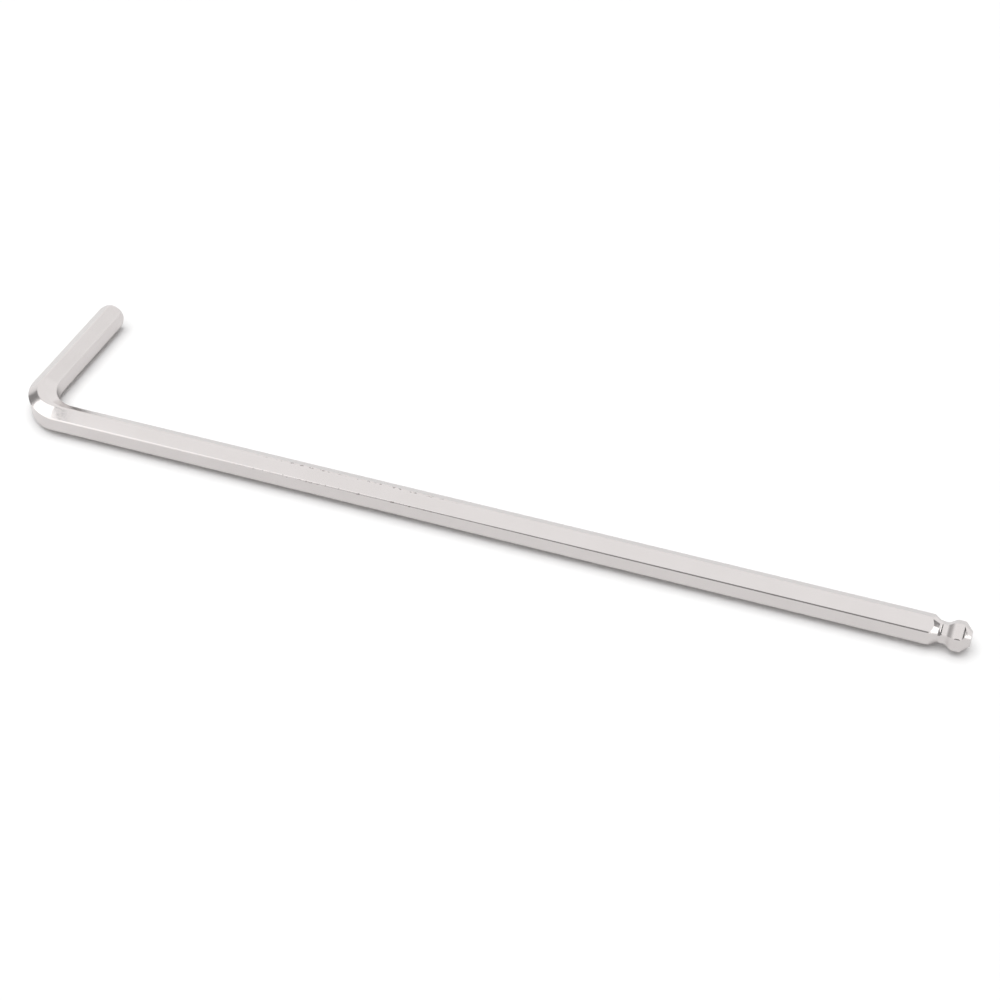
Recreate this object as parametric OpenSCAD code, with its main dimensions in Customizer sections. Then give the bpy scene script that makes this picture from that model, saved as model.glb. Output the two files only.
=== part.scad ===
/* [Hexagon] */
// Width across the flats, which is the size of the socket that the key turns
across_flats = 4; // [3.8:0.05:4.3]
// Radius that rounds the six long edges of the bar
edge_r = 0.4; // [0.1:0.05:0.5]

/* [Arms] */
// Long arm, from the outside of the bend to the face of the ball end
long_arm = 150; // [90:1:220]
// Short arm, from the outside of the bend to its end face
short_arm = 29; // [18:1:60]

/* [Bend] */
// Radius of the inside of the bend, where the metal gathers
inside_r = 5.5; // [3.75:0.25:8]
// Radius of the ridge along the top of the bend
ridge_r = 5.5; // [4:0.25:7.25]
// Radius of the outside of the bend, where the metal is drawn flat
outside_r = 8.5; // [6.25:0.25:11]

/* [Short end] */
// Diameter of the plain end face, inside the turned chamfer
end_face_d = 3.75; // [3:0.05:3.9]
// Angle between the chamfer and the end face
end_chamfer = 66; // [30:1:70]

/* [Ball end] */
// Distance from the middle of the ball to its end face
ball_nose = 1.7; // [1.3:0.05:1.85]
// Diameter of the plain face on the tip of the ball
ball_face_d = 2.1; // [1:0.05:2.4]
// Angle between the turned chamfer of the tip and the face
ball_chamfer = 45; // [30:1:60]
// Width across the flats at the narrowest point of the neck
neck_flats = 2.7; // [2.5:0.05:3]
// Distance from the middle of the ball back to the narrowest point of the neck
neck_back = 1.9; // [1.8:0.05:2.3]
// Diameter of the turned part of the neck, which the flats cut into
neck_d = 3.15; // [3:0.05:3.3]
// Length of the turned shoulder, from the narrowest point of the neck back to the bar
shoulder_length = 2.4; // [2.1:0.05:3]
// Radius that rounds the shoulder where it leaves the bar
shoulder_r = 1.4; // [0.8:0.1:1.8]
// Slope of the shoulder below that radius, measured from the axis
shoulder_slope = 31; // [28:1:40]

/* [Hidden] */

// Half the width across the flats, and the radii of the sharp corners and of the edges' own centres
half_flats = across_flats / 2;
corner_r = across_flats / sqrt(3);
edge_centre_r = (across_flats - 2 * edge_r) / sqrt(3);

// The long arm runs along X and the short arm along Y, with the origin under the middle of the key
axis_x = half_flats - long_arm / 2;
axis_y = half_flats - short_arm / 2;
axis_z = edge_centre_r + edge_r;

// The gathered metal comes out of the arms at a small angle, as it is a little thinner than they are
gather_r = inside_r + half_flats;
gather_inset = 0.03;
// Its flat top lies between the tops of the two ridges, laps over its own and stops short of the arms
gather_top = axis_z - gather_inset / 4;
gather_lap = 0.05;
gather_turn = 10;
// How far the outside curve begins beyond the outer flats, so that it cuts into them at a small angle
outside_inset = 0.06;

// Each flat of the neck is an arc that runs into the ball's own arc without a corner
neck_half = neck_flats / 2;
neck_r = (neck_back ^ 2 + neck_half ^ 2 - half_flats ^ 2) / (2 * (half_flats - neck_half));
neck_turn = atan2(neck_back, neck_half + neck_r);

// Steps in the arcs of an edge, of a ball flat, of a neck flat and of the shoulder
edge_steps = 4;
ball_steps = 16;
neck_steps = 16;
shoulder_steps = 8;
// Facets in a full turn
turn_fn = 96;
// Steps in the two curves round the flat top of the gathered metal
gather_steps = 24;
// How far the turned blanks and the flats run past the start of the bar that they shape
run_out = 1;

function polar(r, a) = r * [cos(a), sin(a)];

// Points along an arc, both ends included
function arc(centre, r, from, to, steps) =
    [for (i = [0 : steps]) centre + polar(r, from + (to - from) * i / steps)];

// Half outline of the start of a turned blank
function blank_start(from) = [[0, from - run_out], [corner_r, from - run_out]];

// Half outline of a turned end, with its chamfer and plain face
function faced_end(to, face_d, chamfer) =
    [[corner_r, to - (corner_r - face_d / 2) * tan(chamfer)], [face_d / 2, to], [0, to]];

// Half outline of the turned shoulder and neck, with the middle of the ball at zero
function shoulder() =
    let (
        rounding = arc([corner_r - shoulder_r, -neck_back - shoulder_length], shoulder_r,
            0, shoulder_slope, shoulder_steps),
        low = rounding[shoulder_steps],
        slope_length = (low.x - neck_d / 2) / tan(shoulder_slope)
    )
    concat(rounding, [[neck_d / 2, low.y + slope_length], [neck_d / 2, -neck_back], [corner_r, -neck_back]]);

// Half outline of the flats of the ball and neck, which stay clear of the bar behind the neck
function ball_flat(from) = concat(
    [[across_flats, from - run_out], [across_flats, -neck_back - neck_r]],
    arc([neck_half + neck_r, -neck_back], neck_r, 270, 180 - neck_turn, neck_steps),
    arc([0, 0], half_flats, -neck_turn, 90, ball_steps));

// Cross-section of the bar, with a flat on each side and a corner at the top and bottom
module bar_section(inset = 0) {
    polygon([for (k = [0 : 5])
        each arc(polar(edge_centre_r, 60 * k + 30), edge_r - inset, 60 * k, 60 * k + 60, edge_steps)]);
}

// Turned shape round the Z axis, from half of its outline
module turned(outline) {
    rotate_extrude($fn = turn_fn) polygon(outline);
}

// The three pairs of opposite flats of the ball and neck
module ball_flats(from) {
    half = ball_flat(from);
    other_half = [for (i = [len(half) - 2 : -1 : 0]) [-half[i].x, half[i].y]];
    intersection_for (i = [0 : 2])
        rotate([90, 0, 60 * i])
            linear_extrude(2 * across_flats, center = true) polygon(concat(half, other_half));
}

// Straight part of the long arm, with the middle of the ball at zero
module long_bar(from) {
    intersection() {
        translate([0, 0, from]) linear_extrude(ball_nose - from) bar_section();
        turned(concat(blank_start(from), shoulder(), faced_end(ball_nose, ball_face_d, ball_chamfer)));
        ball_flats(from);
    }
}

// Straight part of the short arm
module short_bar(length) {
    intersection() {
        linear_extrude(length) bar_section();
        turned(concat(blank_start(0), faced_end(length, end_face_d, end_chamfer)));
    }
}

// The bar's section, swept through the bend at a given radius, with the crossing of the arms' axes at zero
module swept(axis_r, inset = 0) {
    translate([axis_r, axis_r])
        rotate(180) rotate_extrude(angle = 90, $fn = turn_fn) translate([axis_r, 0]) bar_section(inset);
}

// Metal that gathers inside the bend, with a flat top between the ridge of the bend and its own
module gathered() {
    swept(gather_r, gather_inset);
    linear_extrude(2 * gather_top, center = true)
        polygon(concat(
            arc([ridge_r, ridge_r], ridge_r, 180 + gather_turn, 270 - gather_turn, gather_steps),
            arc([gather_r, gather_r], gather_r - gather_lap, 270 - gather_turn, 180 + gather_turn, gather_steps)));
}

// Block that takes the outer corner off the bend, down to the curve of its outside
module outside_cut() {
    centre = outside_r - half_flats - outside_inset;
    translate([centre, centre]) linear_extrude(2 * across_flats, center = true) difference() {
        translate([-2 * outside_r, -2 * outside_r]) square(2 * outside_r);
        circle(outside_r, $fn = turn_fn);
    }
}

module hex_key() {
    ball_x = long_arm - half_flats - ball_nose;
    color("silver") translate([axis_x, axis_y, axis_z]) {
        difference() {
            union() {
                translate([ball_x, 0, 0]) rotate([90, 0, 90]) long_bar(ridge_r - ball_x);
                swept(ridge_r);
                translate([0, ridge_r, 0]) rotate([-90, 0, 0]) short_bar(short_arm - half_flats - ridge_r);
            }
            outside_cut();
        }
        gathered();
    }
}

hex_key();
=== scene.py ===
"""Hex key: a satin plated steel L key lying on a pale floor, in soft studio light."""
import math

import bpy
from mathutils import Euler, Matrix, Vector


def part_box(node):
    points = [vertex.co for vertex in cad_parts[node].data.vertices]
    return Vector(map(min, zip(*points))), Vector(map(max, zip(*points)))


MM = 0.001
ACROSS_FLATS = 4 * MM
# Angle between two neighbouring flats (degrees)
FLAT_TO_FLAT = 60

# Camera: turn to the left of the Y axis, look down and roll (degrees), place as measured from the
# crossing of the arms' axes, focal length in millimetres, and nearest distance that it shows
CAMERA_TURN = 22.63
CAMERA_DOWN = 41.16
CAMERA_ROLL = 1.90
CAMERA_OFFSET = Vector((40.4, -49.1, 47.7)) * ACROSS_FLATS
LENS = 70.9
CLIP_START = 10 * MM

# Key light: direction towards it (degrees), its share of the floor's light, and its apparent size (degrees)
KEY_AZIMUTH = 225
KEY_ELEVATION = 84
KEY_SHARE = 0.65
KEY_ANGLE = 66

# The floor's colour for the light and the metal, left of the key and under it, each with its X, where the
# darker colour under the key is painted shade; the floor's colour as the camera sees it, and the length of
# its sides
FLOOR_LEFT = (-95 * MM, 0.92)
FLOOR_RIGHT_SHADED = (-50 * MM, 0.82)
FLOOR_SEEN = 1.03
FLOOR_SIZE = 3000 * MM

# Tones of the plating, and of the worn metal in the nicks, which also colours the painted shade in the bend's
# inner corner
STEEL_DARK = (0.73, 0.693, 0.683, 1)
STEEL_PALE = (0.775, 0.739, 0.731, 1)
STEEL_WORN_AND_SHADED = (0.4, 0.37, 0.36, 1)

# Noise patterns in the metal: scale, detail and stretch
CLOUD = (150, 3, (1, 1, 1))
GRAIN = (2600, 4, (1, 1, 1))
STREAK = (900, 3, (0.25, 1, 1))
SPECK = (2300, 3, (0.8, 1, 1))
# Noise values from which and up to which the clouds, the roughness of the grain and the nicks grow
CLOUD_STEP = (0.35, 0.65)
GRAIN_STEP = (0.3, 0.7)
SPECK_STEP = (0.54, 0.7)

# Roughness at the lows and the highs of the grain, and how deep the grain is
ROUGHNESS = (0.1, 0.17)
GRAIN_STRENGTH = 0.15
GRAIN_DEPTH = 0.01 * MM

# Where the long arm's ridges are nicked: from one X to another, with a soft end at both
NICKS_FROM = -38 * MM
NICKS_TO = 6 * MM
NICKS_END = 12 * MM
# How far from a flat's slope the nicks set in and are full, as a share of the angle between two flats
NICKS_EDGE = (0.02, 0.2)

# Painted shade on the metal low in the inner corner of the bend, where shade falls: its middle from the
# crossing, its soft reach, and how dark its middle is
SHADE_CORNER_AT = Vector((3, 4.6, -1.2)) * MM
SHADE_CORNER_REACH = 2.6 * MM
SHADE_CORNER_DEPTH = 0.9

# Smoothing: distance within which points are one, angle of the edges that stay sharp (degrees),
# and how far the large faces lead, where 50 is neutral
POINT_GAP = 0.001 * MM
SHARP_ANGLE = 24
LARGE_FACES = 60

# Left softbox and the dark rim of its near edge: corners in millimetres from the crossing of the arms' axes,
# and brightness. They face the bend and turn their backs to the ball.
NEAR_PANELS = [
    ("left_softbox", ((-21, 2.9, 44.3), (-18.7, -15.7, 44.4), (-230, -97, 127), (-247, 35, 127)), 1.6),
    ("softbox_rim", ((-19.1, 2.7, 43.6), (-16.9, -15.5, 43.7), (-18.7, -15.7, 44.4), (-21, 2.9, 44.3)), 0.02),
]

# What the bare metal reflects of the studio: azimuth from +X towards +Y, elevation, half width,
# half height, width of the soft rim (degrees), and brightness, where the studio's walls have 1
PANELS = [
    ("dim wall behind the left softbox", 182, 14, 24, 28, 28, 0.5),
    ("gap under the left softbox", 166, 15, 9, 10, 5, 0.28),
    ("front left softbox", 222, 25, 18, 30, 10, 1.4),
    ("camera side", 270, 28, 22, 32, 8, 0.28),
    ("right softbox", 345, 26, 20, 22, 4, 1.6),
    ("bar above the right softbox", 340, 53, 24, 6, 3, 0.05),
    ("gap on the right", 22, 30, 23, 8, 6, 0.28),
    ("low right softbox", 2, 5, 14, 8, 4, 1.5),
    ("wall beyond the short arm", 66, 50, 24, 10, 10, 0.94),
]


def node(tree, kind, inputs=(), **values):
    """Adds a node, sets its properties, and feeds each input with a number or another node's output."""
    made = tree.nodes.new(kind)
    for name, value in values.items():
        setattr(made, name, value)
    for name, value in dict(inputs).items():
        if isinstance(value, bpy.types.NodeSocket):
            tree.links.new(value, made.inputs[name])
        else:
            made.inputs[name].default_value = value
    return made


def maths(tree, operation, *inputs):
    return node(tree, "ShaderNodeMath", enumerate(inputs), operation=operation).outputs[0]


def mix(tree, share, a, b, **values):
    """Goes from a to b while share goes from 0 to 1."""
    return node(tree, "ShaderNodeMix", {"Factor": share, "A": a, "B": b}, **values).outputs["Result"]


def split(tree, vector):
    return node(tree, "ShaderNodeSeparateXYZ", {"Vector": vector}).outputs


def ramp(tree, value, low, high, at_low=0.0, at_high=1.0):
    """A smooth step from at_low to at_high while value goes from low to high."""
    return node(tree, "ShaderNodeMapRange",
                {"Value": value, "From Min": low, "From Max": high, "To Min": at_low, "To Max": at_high},
                interpolation_type="SMOOTHSTEP").outputs["Result"]


def add_camera(crossing):
    data = bpy.data.cameras.new("camera")
    data.lens = LENS
    data.clip_start = CLIP_START
    camera = bpy.data.objects.new("camera", data)
    bpy.context.scene.collection.objects.link(camera)
    turn = math.radians(CAMERA_TURN)
    down = math.radians(CAMERA_DOWN)
    forward = Vector((-math.sin(turn) * math.cos(down), math.cos(turn) * math.cos(down), -math.sin(down)))
    right = forward.cross(Vector((0, 0, 1))).normalized()
    axes = Matrix((right, right.cross(forward), -forward)).transposed()
    roll = Matrix.Rotation(math.radians(-CAMERA_ROLL), 3, "Z")
    camera.matrix_world = Matrix.Translation(crossing + CAMERA_OFFSET) @ (axes @ roll).to_4x4()
    bpy.context.scene.camera = camera


def add_key_light():
    data = bpy.data.lights.new("key_light", "SUN")
    data.energy = KEY_SHARE * math.pi / math.sin(math.radians(KEY_ELEVATION))
    data.angle = math.radians(KEY_ANGLE)
    light = bpy.data.objects.new("key_light", data)
    light.rotation_euler = Euler((0, math.radians(90 - KEY_ELEVATION), math.radians(KEY_AZIMUTH)))
    light.visible_glossy = False
    bpy.context.scene.collection.objects.link(light)


def add_near_panel(name, corners, strength, crossing):
    """Only bare metal in front of the panel sees it."""
    mesh = bpy.data.meshes.new(name)
    mesh.from_pydata([crossing + Vector(corner) * MM for corner in corners], [], [range(len(corners))])
    panel = bpy.data.objects.new(name, mesh)
    bpy.context.scene.collection.objects.link(panel)
    material = bpy.data.materials.new(name)
    material.use_nodes = True
    tree = material.node_tree
    tree.nodes.clear()
    lit = node(tree, "ShaderNodeEmission", {"Strength": strength}).outputs[0]
    clear = node(tree, "ShaderNodeBsdfTransparent").outputs[0]
    back = node(tree, "ShaderNodeNewGeometry").outputs["Backfacing"]
    side = node(tree, "ShaderNodeMixShader", {0: back, 1: lit, 2: clear}).outputs[0]
    node(tree, "ShaderNodeOutputMaterial", {"Surface": side})
    mesh.materials.append(material)
    panel.visible_camera = panel.visible_diffuse = panel.visible_transmission = panel.visible_shadow = False


def within(tree, angle, middle, half, rim):
    """1 where angle, in radians, is within half of the middle, and 0 beyond a soft rim (degrees)."""
    turned = maths(tree, "SUBTRACT", angle, math.radians(middle))
    away = maths(tree, "ABSOLUTE", maths(tree, "WRAP", turned, math.pi, -math.pi))
    return ramp(tree, away, math.radians(half - rim / 2), math.radians(half + rim / 2), 1, 0)


def add_world():
    """An even white studio. Only bare metal sees its softboxes and the darker places between them."""
    sky = bpy.data.worlds.new("studio")
    bpy.context.scene.world = sky
    sky.use_nodes = True
    tree = sky.node_tree
    tree.nodes.clear()
    direction = split(tree, node(tree, "ShaderNodeTexCoord").outputs["Generated"])
    azimuth = maths(tree, "ARCTAN2", direction["Y"], direction["X"])
    elevation = maths(tree, "ARCSINE", direction["Z"])
    brightness = 1.0
    for name, at, height, half_width, half_height, rim, strength in PANELS:
        inside = maths(tree, "MULTIPLY", within(tree, azimuth, at, half_width, rim),
                       within(tree, elevation, height, half_height, rim))
        brightness = mix(tree, inside, brightness, strength, label=name)
    rays = node(tree, "ShaderNodeLightPath").outputs
    other = mix(tree, rays["Is Camera Ray"], 1 - KEY_SHARE, 1.0)
    plain, studio = (
        node(tree, "ShaderNodeBackground", {"Color": (1, 1, 1, 1), "Strength": strength}).outputs[0]
        for strength in (other, brightness))
    both = node(tree, "ShaderNodeMixShader", {0: rays["Is Glossy Ray"], 1: plain, 2: studio}).outputs[0]
    node(tree, "ShaderNodeOutputWorld", {"Surface": both})


def add_floor():
    bpy.ops.mesh.primitive_plane_add(size=FLOOR_SIZE)
    floor = bpy.context.object
    floor.name = "floor"
    material = bpy.data.materials.new("floor")
    material.use_nodes = True
    tree = material.node_tree
    shader = tree.nodes["Principled BSDF"]
    seen = node(tree, "ShaderNodeLightPath").outputs["Is Camera Ray"]
    along = split(tree, node(tree, "ShaderNodeNewGeometry").outputs["Position"])["X"]
    # Painted shade: the floor darkens from left of the key to under it, seen only in the metal and in bounced
    # light
    floor_colour_and_shade = ramp(tree, along, FLOOR_LEFT[0], FLOOR_RIGHT_SHADED[0], FLOOR_LEFT[1], FLOOR_RIGHT_SHADED[1])
    tree.links.new(mix(tree, seen, floor_colour_and_shade, FLOOR_SEEN), shader.inputs["Base Color"])
    shader.inputs["Roughness"].default_value = 1
    shader.inputs["Specular IOR Level"].default_value = 0
    floor.data.materials.append(material)


def ridges(tree):
    """1 on the rounded ridges between the bar's flats, and 0 on the flats, as told from the slope alone."""
    normal = split(tree, node(tree, "ShaderNodeNewGeometry").outputs["Normal"])
    level = maths(tree, "SQRT", maths(tree, "ADD", maths(tree, "POWER", normal["X"], 2.0),
                                      maths(tree, "POWER", normal["Y"], 2.0)))
    slope = maths(tree, "DIVIDE", maths(tree, "ARCTAN2", normal["Z"], level), math.radians(FLAT_TO_FLAT))
    part = maths(tree, "FRACT", maths(tree, "ADD", slope, 0.5))
    from_flat = maths(tree, "ABSOLUTE", maths(tree, "SUBTRACT", part, 0.5))
    return ramp(tree, from_flat, *NICKS_EDGE)


def steel(crossing):
    """Satin plating: bright, slightly uneven metal with small dark nicks along the long arm's ridges, and
    painted shade low in the bend's inner corner.
    """
    material = bpy.data.materials.new("plated_steel")
    material.use_nodes = True
    tree = material.node_tree
    shader = tree.nodes["Principled BSDF"]
    shader.inputs["Metallic"].default_value = 1
    place = node(tree, "ShaderNodeTexCoord").outputs["Object"]
    along = split(tree, place)["X"]

    def noise(scale, detail, stretch):
        at = node(tree, "ShaderNodeMapping", {"Vector": place, "Scale": stretch}).outputs["Vector"]
        pattern = node(tree, "ShaderNodeTexNoise", {"Vector": at, "Scale": scale, "Detail": detail})
        return pattern.outputs["Fac"]

    grain = noise(*GRAIN)
    cloud = ramp(tree, noise(*CLOUD), *CLOUD_STEP)
    tone = maths(tree, "ADD", maths(tree, "ADD", cloud, noise(*STREAK)), grain)
    colour = mix(tree, maths(tree, "DIVIDE", tone, 3.0), STEEL_DARK, STEEL_PALE, data_type="RGBA")

    there = maths(tree, "MULTIPLY", ramp(tree, along, NICKS_FROM, NICKS_FROM + NICKS_END),
                  ramp(tree, along, NICKS_TO - NICKS_END, NICKS_TO, 1, 0))
    nick = maths(tree, "MULTIPLY", maths(tree, "MULTIPLY", ridges(tree), there),
                 ramp(tree, noise(*SPECK), *SPECK_STEP))
    # Painted shade: the metal darkens towards a point low in the bend's inner corner, in the nicks' worn
    # colour
    corner = node(tree, "ShaderNodeVectorMath", {0: place, 1: crossing + SHADE_CORNER_AT},
                  operation="DISTANCE").outputs["Value"]
    nicks_and_shade = maths(tree, "MAXIMUM", nick, ramp(tree, corner, 0.0, SHADE_CORNER_REACH, SHADE_CORNER_DEPTH, 0))
    tree.links.new(mix(tree, nicks_and_shade, colour, STEEL_WORN_AND_SHADED, data_type="RGBA"), shader.inputs["Base Color"])
    tree.links.new(ramp(tree, grain, *GRAIN_STEP, *ROUGHNESS), shader.inputs["Roughness"])
    bump = node(tree, "ShaderNodeBump",
                {"Height": grain, "Strength": GRAIN_STRENGTH, "Distance": GRAIN_DEPTH})
    tree.links.new(bump.outputs["Normal"], shader.inputs["Normal"])
    return material


def smooth_over(key):
    """Shades the solid's facets as the smooth surfaces that they stand for, and keeps its real edges."""
    group = bpy.data.node_groups.new("smooth_over", "GeometryNodeTree")
    group.interface.new_socket("Geometry", in_out="INPUT", socket_type="NodeSocketGeometry")
    group.interface.new_socket("Geometry", in_out="OUTPUT", socket_type="NodeSocketGeometry")

    def step(kind, mesh, inputs=(), **values):
        return node(group, kind, {"Geometry": mesh, **dict(inputs)}, **values).outputs["Geometry"]

    mesh = node(group, "NodeGroupInput").outputs["Geometry"]
    mesh = step("GeometryNodeMergeByDistance", mesh, {"Distance": POINT_GAP})
    mesh = step("GeometryNodeRemoveAttribute", mesh, {"Name": "custom_normal"})
    mesh = step("GeometryNodeSetShadeSmooth", mesh, domain="FACE")
    angle = node(group, "GeometryNodeInputMeshEdgeAngle").outputs["Unsigned Angle"]
    sharp = maths(group, "GREATER_THAN", angle, math.radians(SHARP_ANGLE))
    mesh = step("GeometryNodeSetShadeSmooth", mesh,
                {"Selection": sharp, "Shade Smooth": False}, domain="EDGE")
    node(group, "NodeGroupOutput", {"Geometry": mesh})
    key.modifiers.new("smooth_over", "NODES").node_group = group
    weighted = key.modifiers.new("weighted_normals", "WEIGHTED_NORMAL")
    weighted.keep_sharp = True
    weighted.weight = LARGE_FACES


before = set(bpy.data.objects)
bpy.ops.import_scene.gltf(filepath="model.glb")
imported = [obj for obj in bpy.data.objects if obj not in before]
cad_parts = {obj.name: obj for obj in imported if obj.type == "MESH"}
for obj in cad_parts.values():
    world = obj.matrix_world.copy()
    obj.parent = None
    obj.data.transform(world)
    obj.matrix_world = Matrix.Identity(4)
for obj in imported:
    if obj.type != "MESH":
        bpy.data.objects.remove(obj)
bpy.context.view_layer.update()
low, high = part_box("hex_key")
crossing = Vector((low.x + ACROSS_FLATS / 2, low.y + ACROSS_FLATS / 2, (low.z + high.z) / 2))
add_camera(crossing)
add_key_light()
for near_panel in NEAR_PANELS:
    add_near_panel(*near_panel, crossing)
add_world()
add_floor()

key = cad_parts["hex_key"]
key.data.materials.clear()
key.data.materials.append(steel(crossing))
smooth_over(key)

bpy.context.scene.view_settings.view_transform = "Standard"
